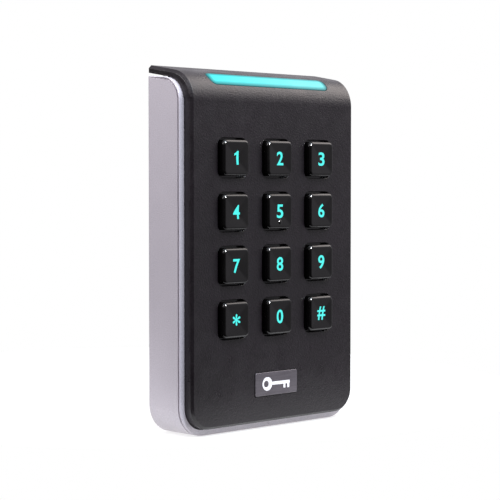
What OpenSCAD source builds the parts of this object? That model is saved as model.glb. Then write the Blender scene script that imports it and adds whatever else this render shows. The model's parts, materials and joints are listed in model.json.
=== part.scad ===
// Keypad access reader for a wall.
// +X points right as the user sees it, +Y into the wall and +Z up. The wall is the plane Y = 0.
// The origin is on the wall, midway between the two screws of a single-gang wall box.
// Heights are measured from the reader's foot and depths from the wall towards the user.

/* [Body] */
// Width of the rear housing
body_w = 80; // [79:0.5:82]
// Height from the foot to the top of the hood
body_h = 121.2; // [121:0.1:122]
// Depth of the cover's flat front
face_d = 19.1; // [19:0.1:20]
// Depth of the rear housing's front rim
rim_d = 15.4; // [15.2:0.1:15.5]
// Radius of the housing's two lower corners
foot_r = 10; // [8:0.5:12]
// Angle at which the hood rises towards the wall
hood_slope = 10; // [8:0.5:10.5]
// Radius of the bend from the cover's front to the hood
hood_bend_r = 10.3; // [9.5:0.1:11]

/* [Keys] */
// Distance between key columns
key_pitch_x = 20.1; // [19:0.1:20.4]
// Distance between key rows
key_pitch_z = 17.7; // [16.8:0.1:17.8]
// Height of the top row's centre
top_row_z = 90.9; // [90:0.1:91.2]
// Width of a key cap
key_w = 11.8; // [11:0.1:12.4]
// Height of a key cap
key_h = 11.8; // [11:0.1:12.4]
// How far a key stands out of the cover
key_proud = 2.3; // [1.2:0.1:3]
// How far a key can be pressed
key_travel = 0.8; // [0.4:0.1:0.8]

/* [Light bar and badge] */
// Length of the light bar
light_bar_w = 55.5; // [40:0.5:60]
// Width of the light bar, across the bend
light_bar_h = 5.5; // [3:0.1:5.6]
// Width of the badge
badge_w = 19.8; // [15:0.1:25]
// Height of the badge
badge_h = 7.9; // [6:0.1:9]
// Height of the badge's centre
badge_z = 15.2; // [14:0.1:17]

/* [Wall fixing] */
// Screw spacing of a single-gang wall box, up and down
gang_spacing = 83.3; // [83.3:0.1:84]
// Screw spacing of a round European wall box, side to side
round_box_spacing = 60; // [60:0.1:60.5]
// Width of the screw slots
slot_w = 4.2; // [3.6:0.1:4.6]
// Length of the screw slots
slot_l = 7; // [6:0.5:8]
// Thickness of the mounting plate
plate_t = 2.5; // [2.2:0.1:2.6]

/* [Hidden] */
$fn = 64;
gap = 0.1;
over = 1;

// Rear housing
housing_top = 117.7;
housing_slope = 4.5;
housing_bend_r = 8;
rim_w = 2;
rim_foot = 2.3;
ledge_d = 12.2;
wall_t = 3.4;
floor_back_d = 3.4;
floor_front_d = 5.2;
top_wall_d = 6.3;
shoulder_z = 109.1;
port_r = 0.45;

// Front cover
cover_t = 2;
cover_taper = 1.9;
tongue_d = ledge_d + 0.75;
lip_t = 2.5;
lip_l = 6.5;
lip_rib_t = 2;
lip_rib_z = 112;
cavity_w = body_w - 2 * (rim_w + 1.9);
window_gap = 0.6;
badge_recess = 1;
badge_proud = 0.3;

// Keys
key_r = 1.8;
key_bevel = 0.7;
flange_t = 0.9;
flange_reach = window_gap + 1.1;
flange_back_d = face_d - cover_t - flange_t - 0.05;
key_pocket_w = 9;
key_pocket_d = 2.2;
key_post_r = 2.2;
key_columns = [-1, 0, 1];

// Boards
main_back_d = 7.2;
board_t = 1.6;
main_front_d = main_back_d + board_t;
main_w = 70;
main_low_z = 13;
main_top_z = 106;
pad_back_d = 12.7;
pad_t = 1.2;
pad_front_d = pad_back_d + pad_t;
pad_w = 57;
pad_low_z = 22;
pad_top_z = 106.2;
mat_t = 0.8;
dome_room = key_travel + 1;
led_x = 3.9;
led_z = 3.9;

// Cover screws
screw_x = 32.5;
screw_zs = [16, 102];
screw_r = 1.2;
screw_head_r = 2.25;
screw_head_d = 4.6;
screw_head_t = 1.4;
boss_r = 2.75;

// Wall plate
plate_w = 74.4;
plate_low_z = 3;
plate_top_z = 115.4;
recess_lap = 2;
recess_t = 1.2;
hook_x = 20;
hook_w = 8;
hook_z = 100;
hook_t = 3;
hook_d = 6.9;
lug_w = 10;
lug_low_z = 4.7;
lug_top_z = 10.7;
lug_d = 9.6;
lug_screw_d = 6.6;
security_r = 1.5;
security_head_r = 2.8;
security_head_low_z = 0.4;
insert_r = 2.3;

// Terminals
window_w = 42;
window_low_z = 33.5;
window_top_z = 67;
terminal_w = 18.5;
terminal_x = 9.75;
terminal_join_z = 58.7;
terminal_pitch = 3.5;
terminal_ways = [-2:2];
pin_w = 0.8;
pin_d = 4.5;
pin_leg_z = terminal_join_z + 6.7;
clamp_z = terminal_join_z - 6.8;

// Parts on the main board: centre, then width, height and thickness
radio_at = [-10, 81];
radio_size = [6, 6, 0.9];
can_size = [22, 26, 2.6];
can_wall = 0.4;
controller_at = [12, 74];
controller_size = [10, 10, 1.2];
regulator_at = [14, 40];
regulator_size = [6.6, 6.2, 2.2];
crystal_at = [12, 61];
crystal_size = [3.2, 2.5, 0.8];
chip_part_at = [4, 50];
chip_part_size = [1.6, 0.9, 0.6];
chip_part_pitch = [2.6, 3.4];
capacitor_at = [-14, 40];
capacitor_r = 2;
capacitor_h = 3.6;
capacitor_pitch = 5;
buzzer_at = [12, 88];
buzzer_r = 6;
buzzer_h = 3.6;
buzzer_port_w = 1.6;
tamper_at = [-28, 40];
tamper_size = [3.2, 2.8, 1.8];
connector_z = 28;
connector_w = 18;
connector_h = 4.4;

// Antenna coil and its former
former_w = 55;
former_h = 80;
former_near_d = 9.6;
former_far_d = 12.6;
former_flange_t = 0.6;
former_wall = 1.2;
former_rim = 1.5;
former_foot_r = 1.3;

mid_z = body_h / 2;
bend_y = hood_bend_r - face_d;
bend_z = body_h + bend_y * tan(hood_slope) - hood_bend_r / cos(hood_slope);
light_angle = 50;

// Moves what stands on the foot down, so that the origin is at mid height
module on_wall() translate([0, 0, -mid_z]) children();

// Extrudes a front view (X, Z) between two depths
module slab(near, far)
    translate([0, -near, 0]) rotate([90, 0, 0]) linear_extrude(far - near) children();

// Extrudes a side view (Y, Z) across a width
module across(w)
    rotate([90, 0, 90]) translate([0, 0, -w / 2]) linear_extrude(w) children();

// Round bar between two depths
module bar(x, z, near, far, r)
    translate([x, -near, z]) rotate([90, 0, 0]) cylinder(h = far - near, r = r);

// Box between two depths, centred on x and z
module block(x, z, w, h, near, far)
    slab(near, far) translate([x, z]) square([w, h], center = true);

// Rounded rectangle centred on the origin
module round_rect(w, h, r) {
    square([w - 2 * r, h], center = true);
    square([w, h - 2 * r], center = true);
    for (x = [-1, 1], z = [-1, 1]) translate([x * (w / 2 - r), z * (h / 2 - r)]) circle(r);
}

// Front view with two round lower corners
module foot_outline(w, low, high, r) {
    translate([-w / 2, low + r]) square([w, high - low - r]);
    translate([r - w / 2, low]) square([w - 2 * r, r + over]);
    for (side = [-1, 1]) translate([side * (w / 2 - r), low + r]) circle(r);
}

// Side view with a flat front, a round bend and a top that rises towards the wall
module bent_profile(depth, top, slope, r, inset = 0) {
    y = r - depth;
    z = top + y * tan(slope) - r / cos(slope);
    translate([inset - depth, 0]) square([depth - inset, z]);
    translate([y, z]) circle(r - inset);
    polygon([
        [y, z],
        [y - (r - inset) * sin(slope), z + (r - inset) * cos(slope)],
        [0, top - inset / cos(slope)],
        [0, z]
    ]);
}

module cover_profile(inset = 0) bent_profile(face_d, body_h, hood_slope, hood_bend_r, inset);

module housing_profile(inset = 0) bent_profile(rim_d, housing_top, housing_slope, housing_bend_r, inset);

// Repeats a shape at the four cover screws
module at_cover_screws() for (x = [-screw_x, screw_x], z = screw_zs) translate([x, 0, z]) children();

// Repeats a front view at all twelve keys
module at_keys() for (column = key_columns, row = [0:3])
    translate([column * key_pitch_x, top_row_z - row * key_pitch_z]) children();

// Turns a shape built along +Z so that it points out of the bend at the light bar
module out_of_bend() translate([0, bend_y, bend_z]) rotate([90 - light_angle, 0, 0]) children();

// Wall plate
module screw_slot(along_z, w, l) rotate(along_z ? 90 : 0) {
    square([l - w, w], center = true);
    for (side = [-1, 1]) translate([side * (l - w) / 2, 0]) circle(w / 2);
}

module wall_slots(extra, near, far) slab(near, far) translate([0, mid_z]) {
    for (side = [-1, 1]) {
        translate([0, side * gang_spacing / 2]) screw_slot(true, slot_w + extra, slot_l + extra);
        translate([side * round_box_spacing / 2, 0]) screw_slot(false, slot_w + extra, slot_l + extra);
    }
}

module terminal_window(near, far) slab(near, far)
    translate([-window_w / 2, window_low_z]) square([window_w, window_top_z - window_low_z]);

module mounting_plate() color("#4c4e52") on_wall() difference() {
    union() {
        slab(0, plate_t) foot_outline(plate_w, plate_low_z, plate_top_z, foot_r - 3);
        for (side = [-1, 1]) {
            block(side * hook_x, hook_z + hook_t / 2, hook_w, hook_t, plate_t - gap, hook_d);
            block(side * hook_x, hook_z + hook_t, hook_w, 2 * hook_t, floor_front_d + 0.4, hook_d);
        }
        block(0, (lug_low_z + lug_top_z) / 2, lug_w, lug_top_z - lug_low_z, plate_t - gap, lug_d);
    }
    wall_slots(0, -over, plate_t + over);
    wall_slots(2 * recess_lap, plate_t - recess_t, plate_t + over);
    terminal_window(-over, plate_t + over);
    translate([0, -lug_screw_d, lug_low_z - over])
        cylinder(h = lug_top_z - lug_low_z + 2 * over, r = insert_r + 0.02);
}

module lug_insert() color("#b58b3c") on_wall() translate([0, -lug_screw_d, lug_low_z + 0.2]) difference() {
    cylinder(h = lug_top_z - lug_low_z - 0.4, r = insert_r);
    translate([0, 0, -over]) cylinder(h = lug_top_z, r = security_r + 0.03);
}

module security_screw() color("#8a8c90") on_wall() translate([0, -lug_screw_d, 0]) difference() {
    union() {
        translate([0, 0, security_head_low_z]) cylinder(h = 2.1, r = security_head_r);
        translate([0, 0, 2]) cylinder(h = 8.2, r = security_r);
    }
    translate([0, 0, -over]) cylinder(h = over + 1.6, r = 1.5, $fn = 6);
}

// Rear housing
module housing_shell() difference() {
    intersection() {
        across(body_w) housing_profile();
        slab(0, rim_d) foot_outline(body_w, 0, body_h, foot_r);
    }
    slab(ledge_d, rim_d + over) foot_outline(body_w - 2 * rim_w, rim_foot, body_h, foot_r - 2.3);
    slab(floor_front_d, rim_d) foot_outline(body_w - 2 * wall_t, rim_foot + 2, housing_top - 2, foot_r - 4);
    slab(top_wall_d, rim_d) translate([rim_w - body_w / 2, shoulder_z]) square([body_w - 2 * rim_w, body_h]);
    slab(-over, floor_back_d)
        foot_outline(body_w - 5.2, plate_low_z - 0.4, plate_top_z + 0.4, foot_r - 2.6);
}

module rear_housing() color("#b6b1b8") on_wall() difference() {
    union() {
        housing_shell();
        at_cover_screws() bar(0, 0, floor_front_d - gap, main_back_d, boss_r + 0.85);
    }
    at_cover_screws() {
        bar(0, 0, floor_back_d - over, screw_head_d, screw_head_r + 0.2);
        bar(0, 0, floor_back_d, main_back_d + over, screw_r + 0.25);
    }
    terminal_window(floor_back_d - over, floor_front_d + over);
    for (side = [-1, 1])
        slab(floor_back_d - over, floor_front_d + over)
            translate([side * hook_x, hook_z + 0.2]) square([hook_w + 2, 2 * hook_t + 0.2], center = true);
    block(0, rim_foot + 5.5, lug_w + 2, 7, floor_back_d - over, floor_front_d + over);
    block(tamper_at[0], tamper_at[1], 4, 4, floor_back_d - over, floor_front_d + over);
    translate([0, -lug_screw_d, -over]) {
        cylinder(h = over + 2.5, r = security_head_r + 0.3);
        cylinder(h = over + rim_foot + 3, r = security_r + 0.2);
    }
    bar(0, rim_foot / 2, ledge_d, rim_d + over, port_r);
}

// Front cover
module cover_skin() difference() {
    intersection() {
        across(body_w) cover_profile();
        slab(0, face_d) {
            foot_outline(body_w - 2 * rim_w - 0.3, rim_foot + gap, shoulder_z + over, foot_r - 2.3);
            translate([-body_w / 2, shoulder_z]) square([body_w, body_h]);
        }
        linear_extrude(body_h + over) polygon([
            [-body_w / 2 + 0.2, 0], [body_w / 2 - 0.2, 0],
            [body_w / 2 - 0.2 - cover_taper, -face_d], [-body_w / 2 + 0.2 + cover_taper, -face_d]
        ]);
    }
    across(body_w + over) housing_profile(-gap);
    across(body_w + over) polygon([
        [over, body_h - lip_t + over * tan(hood_slope)], [over, shoulder_z],
        [-lip_l, shoulder_z], [-lip_l, body_h - lip_t - lip_l * tan(hood_slope)]
    ]);
}

module cover_plug() intersection() {
    across(body_w - 2 * rim_w - 2 * gap) cover_profile();
    union() {
        slab(tongue_d, rim_d + over)
            foot_outline(body_w - 2 * rim_w - 2 * gap, rim_foot + gap, shoulder_z - 0.3, foot_r - 2.4);
        slab(lip_l, rim_d + over)
            translate([-body_w / 2, shoulder_z + gap]) square([body_w, housing_top - shoulder_z]);
    }
}

module cover_cavity() intersection() {
    across(cavity_w) difference() {
        cover_profile(cover_t);
        translate([-lip_l - lip_rib_t, lip_rib_z]) square(body_h);
    }
    slab(-over, face_d) foot_outline(cavity_w, rim_foot + cover_t, body_h, foot_r - 4.4);
}

module light_bar_outline(extra) out_of_bend() linear_extrude(hood_bend_r + over)
    round_rect(light_bar_w + extra, light_bar_h + extra, (light_bar_h + extra) / 2 - 0.02);

module front_cover() color("#39353a") on_wall() difference() {
    union() {
        difference() {
            union() {
                cover_skin();
                cover_plug();
            }
            cover_cavity();
        }
        at_cover_screws() bar(0, 0, main_front_d + 0.05, face_d - cover_t + gap, boss_r);
    }
    at_cover_screws() bar(0, 0, main_front_d - over, face_d - cover_t - over, screw_r + 0.05);
    slab(face_d - cover_t - over, face_d + over) at_keys()
        round_rect(key_w + 2 * window_gap, key_h + 2 * window_gap, key_r + window_gap);
    light_bar_outline(0.1);
    slab(face_d - badge_recess, face_d + over)
        translate([0, badge_z]) round_rect(badge_w + 2 * gap, badge_h + 2 * gap, 0.6);
}

module cover_gasket() color("#202022") on_wall() slab(ledge_d + 0.03, tongue_d - 0.03) difference() {
    foot_outline(body_w - 2 * rim_w - 0.4, rim_foot + 0.2, shoulder_z - 0.5, foot_r - 2.5);
    foot_outline(body_w - 2 * rim_w - 3.2, rim_foot + 1.6, shoulder_z, foot_r - 3.9);
}

module cover_screws() color("#9a9ca0") on_wall() at_cover_screws() difference() {
    union() {
        bar(0, 0, screw_head_d - screw_head_t, screw_head_d, screw_head_r);
        bar(0, 0, screw_head_d - gap, 14, screw_r);
    }
    for (turn = [0, 90]) rotate([0, turn, 0])
        block(0, 0, 2.6, 0.6, screw_head_d - screw_head_t - over, screw_head_d - 0.6);
}

// Light bar and badge
module light_bar_lens() color("#48f0ee") on_wall() difference() {
    intersection() {
        across(body_w) cover_profile();
        light_bar_outline(0);
    }
    across(body_w) cover_profile(cover_t);
}

module light_guide() color("#d8f4f4") on_wall() across(light_bar_w - 5) intersection() {
    translate([bend_y, bend_z]) circle(hood_bend_r - cover_t - gap);
    polygon([
        [-16.7, pad_top_z + 0.2], [-14.3, pad_top_z + 0.2], [-14.3, 110],
        [-11.5, body_h], [-17.5, 116], [-17, 110]
    ]);
}

module light_bar_leds() color("#f4f2dc") on_wall() for (i = [-2:2])
    block(i * 11, pad_top_z - 1, 3.4, 1.8, pad_front_d, pad_front_d + 1.2);

module badge_plate() color("#74707a") on_wall()
    slab(face_d - badge_recess + 0.05, face_d + badge_proud)
        translate([0, badge_z]) round_rect(badge_w, badge_h, 0.5);

// Keys
module key(column, row) color("#141315") on_wall()
    translate([column * key_pitch_x, 0, top_row_z - row * key_pitch_z]) difference() {
        union() {
            intersection() {
                slab(flange_back_d, face_d + key_proud) round_rect(key_w, key_h, key_r);
                across(key_w) key_side(key_h);
                rotate([0, 90, 0]) across(key_h) key_side(key_w);
            }
            slab(flange_back_d, flange_back_d + flange_t)
                round_rect(key_w + 2 * flange_reach, key_h + 2 * flange_reach, key_r);
        }
        slab(flange_back_d - over, flange_back_d + key_pocket_d) difference() {
            square(key_pocket_w, center = true);
            circle(key_post_r);
        }
    }

// Side view of a key cap with its front edges beveled
module key_side(h) polygon([
    [0, -h / 2], [-face_d - key_proud + key_bevel, -h / 2], [-face_d - key_proud, key_bevel - h / 2],
    [-face_d - key_proud, h / 2 - key_bevel], [-face_d - key_proud + key_bevel, h / 2], [0, h / 2]
]);

module key_mat() color("#c9ccd0") on_wall() difference() {
    union() {
        slab(pad_front_d + 0.02, pad_front_d + mat_t)
            translate([0, top_row_z - 1.5 * key_pitch_z]) round_rect(56, 71, 2);
        dome_array() polygon([
            [0, 0.02], [4.2, 0.02], [4.2, mat_t], [2.6, flange_back_d - pad_front_d - 0.02],
            [0, flange_back_d - pad_front_d - 0.02]
        ]);
    }
    dome_array() polygon([[0, -over], [3.2, -over], [3.2, mat_t], [1.9, dome_room], [0, dome_room]]);
    slab(pad_front_d - over, pad_front_d + over) at_keys()
        translate([led_x, led_z]) square([2.2, 1.5], center = true);
}

// Repeats a turned profile at all twelve keys, standing on the keypad board
module dome_array() for (column = key_columns, row = [0:3])
    translate([column * key_pitch_x, -pad_front_d, top_row_z - row * key_pitch_z])
        rotate([90, 0, 0]) rotate_extrude() children();

module key_contacts() color("#c9a544") on_wall() slab(pad_front_d, pad_front_d + 0.1) at_keys() circle(2.6);

module key_leds() color("#f4f2dc") on_wall() slab(pad_front_d, pad_front_d + 0.6) at_keys()
    translate([led_x, led_z]) square([1.6, 0.8], center = true);

module keypad_board() color("#1f5a3c") on_wall() slab(pad_back_d, pad_front_d)
    translate([-pad_w / 2, pad_low_z]) square([pad_w, pad_top_z - pad_low_z]);

module board_socket() color("#26262a") on_wall() difference() {
    block(0, connector_z, connector_w, connector_h, main_front_d + 2.2, pad_back_d);
    block(0, connector_z, connector_w - 2, connector_h - 2, main_front_d, main_front_d + 3.4);
}

module board_header() color("#d8d2bc") on_wall() {
    block(0, connector_z, connector_w, connector_h, main_front_d, main_front_d + 2.15);
    block(0, connector_z, connector_w - 2.2, connector_h - 2.2, main_front_d, main_front_d + 3.2);
}

// Main board and what stands on it
module main_board() color("#1c6844") on_wall() difference() {
    slab(main_back_d, main_front_d)
        translate([-main_w / 2, main_low_z]) square([main_w, main_top_z - main_low_z]);
    at_cover_screws() bar(0, 0, main_back_d - over, main_front_d + over, screw_r + 0.4);
    at_terminal_pins()
        block(0, pin_leg_z, pin_w + 0.2, pin_w + 0.2, main_back_d - over, main_front_d + over);
}

module coil_ring(outer_w, outer_h, t, near, far) slab(near, far) translate([0, mid_z]) difference() {
    round_rect(outer_w, outer_h, 5);
    round_rect(outer_w - 2 * t, outer_h - 2 * t, 5 - t);
}

module coil_former() color("#dcdad4") on_wall() {
    coil_ring(former_w - 2 * former_rim, former_h - 2 * former_rim, former_wall, former_near_d, former_far_d);
    for (near = [former_near_d, former_far_d - former_flange_t])
        coil_ring(former_w, former_h, former_rim + former_wall, near, near + former_flange_t);
    for (x = [-1, 1], z = [-1, 1]) translate([x * (former_w / 2 - 3.5), 0, mid_z + z * (former_h / 2 - 3.5)])
        bar(0, 0, main_front_d, former_near_d + 0.2, former_foot_r);
}

module antenna_coil() color("#b3672b") on_wall() coil_ring(
    former_w - 0.4, former_h - 0.4, former_rim - 0.25,
    former_near_d + former_flange_t + 0.02, former_far_d - former_flange_t - 0.02
);

// Flat component on the front of the main board
module chip(at, size) block(at[0], at[1], size[0], size[1], main_front_d, main_front_d + size[2]);

module radio_chip() color("#2a2a2e") on_wall() chip(radio_at, radio_size);

module shield_can() color("#c2c4c8") on_wall() difference() {
    chip(radio_at, can_size);
    block(
        radio_at[0], radio_at[1], can_size[0] - 2 * can_wall, can_size[1] - 2 * can_wall,
        main_back_d, main_front_d + can_size[2] - can_wall
    );
}

module controller_chip() color("#242428") on_wall() chip(controller_at, controller_size);

module voltage_regulator() color("#2c2c30") on_wall() chip(regulator_at, regulator_size);

module crystal() color("#c8cacd") on_wall() chip(crystal_at, crystal_size);

module capacitors() color("#a8aaae") on_wall() for (i = [-1:1])
    translate([i * capacitor_pitch, 0, 0])
        bar(capacitor_at[0], capacitor_at[1], main_front_d, main_front_d + capacitor_h, capacitor_r);

module chip_parts() color("#c7a27a") on_wall() for (i = [0:5], j = [0:1])
    chip(chip_part_at + [i * chip_part_pitch[0], j * chip_part_pitch[1]], chip_part_size);

module buzzer() color("#222226") on_wall() difference() {
    bar(buzzer_at[0], buzzer_at[1], main_front_d, main_front_d + buzzer_h, buzzer_r);
    block(
        buzzer_at[0], buzzer_at[1], buzzer_port_w, buzzer_port_w,
        main_front_d + buzzer_h - 1.2, main_front_d + buzzer_h + over
    );
}

module tamper_sensor() color("#222226") on_wall() block(
    tamper_at[0], tamper_at[1], tamper_size[0], tamper_size[1], main_back_d - tamper_size[2], main_back_d
);

// Terminals
module at_terminal_pins() for (side = [-1, 1], way = terminal_ways)
    translate([side * terminal_x + way * terminal_pitch, 0, 0]) children();

module terminal_header(side) color("#3d7a54") on_wall() difference() {
    block(side * terminal_x, terminal_join_z + 3, terminal_w, 6, 1.8, main_back_d);
    block(side * terminal_x, terminal_join_z + 2, terminal_w - 1.6, 5.6, 2.6, 6.4);
    at_terminal_pins() block(0, terminal_join_z + 5.4, pin_w + 0.1, 3, pin_d - 0.45, pin_d + 0.45);
}

module terminal_plug(side) color("#46905f") on_wall() difference() {
    union() {
        block(side * terminal_x, terminal_join_z - 5.1, terminal_w, 10, 1.4, 7);
        block(side * terminal_x, terminal_join_z + 2, terminal_w - 2.2, 4.4, 2.9, 6.1);
    }
    at_terminal_pins() {
        block(0, terminal_join_z - 7.4, 2.4, 5.8, 3.2, 5.8);
        block(0, terminal_join_z + 2.2, pin_w + 0.3, 5, pin_d - 0.6, pin_d + 0.6);
        bar(0, clamp_z, 1.4 - over, 3.3, 1.45);
    }
}

module terminal_pins() color("#d2c36a") on_wall() at_terminal_pins() {
    block(0, terminal_join_z + 3.7, pin_w, 6.8, pin_d - pin_w / 2, pin_d + pin_w / 2);
    block(0, pin_leg_z, pin_w, pin_w, pin_d - pin_w / 2, main_front_d + 0.6);
}

module terminal_screws() color("#b9bbbf") on_wall() at_terminal_pins() difference() {
    bar(0, clamp_z, 1.7, 3.25, 1.35);
    block(0, clamp_z, 2.2, 0.5, 1.7 - over, 2.3);
}

mounting_plate();
lug_insert();
security_screw();
rear_housing();
front_cover();
cover_gasket();
cover_screws();
light_bar_lens();
light_guide();
light_bar_leds();
badge_plate();
key(-1, 0);  // key_1
key(0, 0);  // key_2
key(1, 0);  // key_3
key(-1, 1);  // key_4
key(0, 1);  // key_5
key(1, 1);  // key_6
key(-1, 2);  // key_7
key(0, 2);  // key_8
key(1, 2);  // key_9
key(-1, 3);  // key_star
key(0, 3);  // key_0
key(1, 3);  // key_hash
key_mat();
key_contacts();
key_leds();
keypad_board();
board_socket();
board_header();
main_board();
coil_former();
antenna_coil();
radio_chip();
shield_can();
controller_chip();
voltage_regulator();
crystal();
capacitors();
chip_parts();
buzzer();
tamper_sensor();
terminal_header(-1);  // terminal_header_left
terminal_header(1);  // terminal_header_right
terminal_plug(-1);  // terminal_plug_left
terminal_plug(1);  // terminal_plug_right
terminal_pins();
terminal_screws();
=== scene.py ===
"""Looks of the keypad access reader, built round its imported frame.

Shapes are in millimetres until make() and legend() bring them to metres. Places in the scene are in metres.
"""
import json
import math

import bmesh
import bpy
import numpy as np
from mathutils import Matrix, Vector
from mathutils.geometry import delaunay_2d_cdt

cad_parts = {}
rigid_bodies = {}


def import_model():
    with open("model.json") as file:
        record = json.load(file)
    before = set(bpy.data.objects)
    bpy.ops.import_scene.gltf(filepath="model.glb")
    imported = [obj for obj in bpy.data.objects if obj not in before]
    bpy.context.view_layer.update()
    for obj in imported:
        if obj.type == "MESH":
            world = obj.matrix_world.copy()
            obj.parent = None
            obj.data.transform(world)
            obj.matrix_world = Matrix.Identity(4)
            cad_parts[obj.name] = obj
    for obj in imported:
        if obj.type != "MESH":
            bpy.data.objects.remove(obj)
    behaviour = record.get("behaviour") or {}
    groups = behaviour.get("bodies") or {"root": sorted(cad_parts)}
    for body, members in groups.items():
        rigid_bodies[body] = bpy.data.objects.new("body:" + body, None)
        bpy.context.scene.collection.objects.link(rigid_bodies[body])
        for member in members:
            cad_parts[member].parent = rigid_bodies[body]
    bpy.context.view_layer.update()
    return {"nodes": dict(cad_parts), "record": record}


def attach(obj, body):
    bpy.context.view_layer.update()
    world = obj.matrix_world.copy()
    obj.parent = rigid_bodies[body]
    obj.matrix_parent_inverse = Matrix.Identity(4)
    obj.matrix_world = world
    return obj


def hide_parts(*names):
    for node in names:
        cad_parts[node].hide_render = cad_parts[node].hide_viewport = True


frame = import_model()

MM = 0.001
# Tilt of a wall that stands square to the face.
WALL = math.pi / 2

# Sizes below are in millimetres. Heights (_Z) are from the foot, depths (_D) from the wall towards the user.
MID_Z = 60.6
BODY_W = 80.0
SQUARE_R = 0.4
TOP_CORNER_R = 0.5

# Housing
FOOT_R = 10.0
RIM_D = 15.4
RIM_W = 2.0
RIM_EDGE_R = 0.35
REAR_RIM_W = 2.6
GROOVE_START = 0.3
GROOVE_END = 0.95
GROOVE_T = 0.6
GROOVE_EDGE = 0.05
PORT_W = 0.9
PORT_Z = 1.2
FLOOR_D = (3.4, 5.2)
FLOOR_W = 75.0
FLOOR_R = 7.5
FLOOR_SHORT = 2.2
TOP_WALL_D = 6.3
TOP_WALL_T = 2.0
TOP_WALL_FOOT = 0.4
HOUSING_TOP = 117.7
HOUSING_SLOPE = math.radians(4.5)
HOUSING_BEND_R = 8.0
# Windows of the housing's floor: width, height, x, height from the foot and corner radius.
FLOOR_WINDOWS = [
    (42, 33.5, 0, 50.25, 0.8), (12, 7, 0, 7.9, 0.5), (10, 6.2, -20, 100.2, 0.5), (10, 6.2, 20, 100.2, 0.5),
    (4, 4, -28, 40, 0.3),
]
SCREW_HOLE_W = 4.9
SCREW_HOLE_X = 32.5
SCREW_HOLE_Z = (16, 102)

# Cover
FACE_D = 19.1
COVER_TOP = 121.2
COVER_SLOPE = math.radians(10)
COVER_BEND_R = 10.3
COVER_FACE_W = 75.9
COVER_TAPER = 1.9
COVER_FOOT = 2.4
COVER_FOOT_R = 7.7
COVER_T = 2.0
CHAMFER = 0.8
CHAMFER_GROWTH = 0.2
CHAMFER_EDGE = 0.05
CHAMFER_TILT = math.radians(45)
LIP_T = 2.5
LIP_L = 6.5
LIP_RIB_L = 2.0
LIP_RIB_DEEP = (1.9, 3.3, 3.5)
SKIRT_L = 5.5
OVERRUN = 4.0
BLEND = 4.0
BEND_STEP = math.radians(3)
FOOT_STEP = math.radians(4.5)
SHOULDER_Z = 109.1
SHOULDER_BLEND = 5.0
SHADOW_GAP = 0.2
WINDOW_GAP = 0.6
WINDOW_EDGE_R = 0.25

# Light bar and badge
LIGHT_W = 54.6
LIGHT_H = 5.9
LIGHT_ANGLE = math.radians(49.5)
LIGHT_END_R = 2.3
LIGHT_EDGE_R = 0.12
LIGHT_GAP = 0.05
BAR_FADE = 1.9
BAR_EDGE_GLOW = 0.1
BADGE_W = 19.8
BADGE_H = 7.9
BADGE_Z = 15.2
BADGE_PROUD = 0.3
BADGE_R = 0.7
BADGE_EDGE_R = 0.22
BADGE_GAP = 0.1
BADGE_RECESS = 1.0
BADGE_ROOT = 0.95
RECESS_R = 0.6
RECESS_EDGE_R = 0.2
SIGN_T = 0.12
SIGN_PROUD = 0.06
SIGN_CORNER_R = 0.12
# The key on the badge: its bow, the eye in it, and its shaft and teeth. Width, height, x and y of each.
BOW = (4.6, 4.6, -4.4, 0)
EYE = (2.2, 2.2, -4.9, 0)
SHAFT_AND_TEETH = [(8.4, 1.1, 2.05, 0), (1.0, 1.4, 3.7, -1.25), (1.0, 1.4, 5.55, -1.25)]

# Keys
KEY_W = 11.8
KEY_H = 11.8
KEY_R = 1.8
KEY_EDGE_R = 1.0
KEY_D = 21.25
KEY_DISH = 0.42
FLANGE_REACH = 1.7
FLANGE_D = (16.15, 17.05)
POCKET_W = 9.0
POCKET_DEEP = 2.2
POST_W = 4.4
NIB_D = 21.39
NIB_R = 0.9
NIB_H = 0.35
NIB_DOWN = 3.7
NIB_ROOT = 0.6
NIB_STEEPEST = 1.5
COLUMN_PITCH = 20.1
ROW_PITCH = 17.7
TOP_ROW_Z = 90.9
LEGENDS = {
    "key_1": "1", "key_2": "2", "key_3": "3", "key_4": "4", "key_5": "5", "key_6": "6",
    "key_7": "7", "key_8": "8", "key_9": "9", "key_star": "*", "key_0": "0", "key_hash": "#",
}
KEY_FACE_HALF_W = KEY_W / 2 - KEY_EDGE_R
KEY_FACE_HALF_H = KEY_H / 2 - KEY_EDGE_R
DIGIT_H = 4.4
DIGIT_W = 3
STAR_GROWTH = 1.25
FONT_CAP = 0.695
STROKE_GROWTH = 0.1
LEGEND_T = 0.04
# The digit one's outline, anticlockwise from the foot of its stem.
ONE = [(0, 0), (0.9, 0), (0.9, 4.5), (0.25, 4.5), (-0.1, 4.05), (-0.95, 3.6), (-0.95, 2.95), (0, 3.3)]
# The digits that are stretched to DIGIT_W.
WIDE_DIGITS = "23456789"

# Studio, in metres
STAGE_R = 0.15
STAGE_AT = (0.04, 0.095)
STAGE_DROP = 0.00005
STAGE_GLOW = 0.7
LEFT_LIGHT = 0.03
RIGHT_LIGHT = 0.47
TOP_LIGHT = 0.45
CAMERA_YAW = math.radians(43.8)
CAMERA_PITCH = math.radians(2.376)
CAMERA_AWAY = 0.5378
CAMERA_TARGET = (-0.003454, -0.01, -0.00065)
CAMERA_LENS = 114

# What the materials share. Noises are in waves a metre.
BROAD_NOISE = 45
WEAR_NOISE = 160
GLOW_NOISE = 300
COAT_ROUGHNESS = 0.12


# ---------------------------------------------------------------- mesh building

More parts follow.
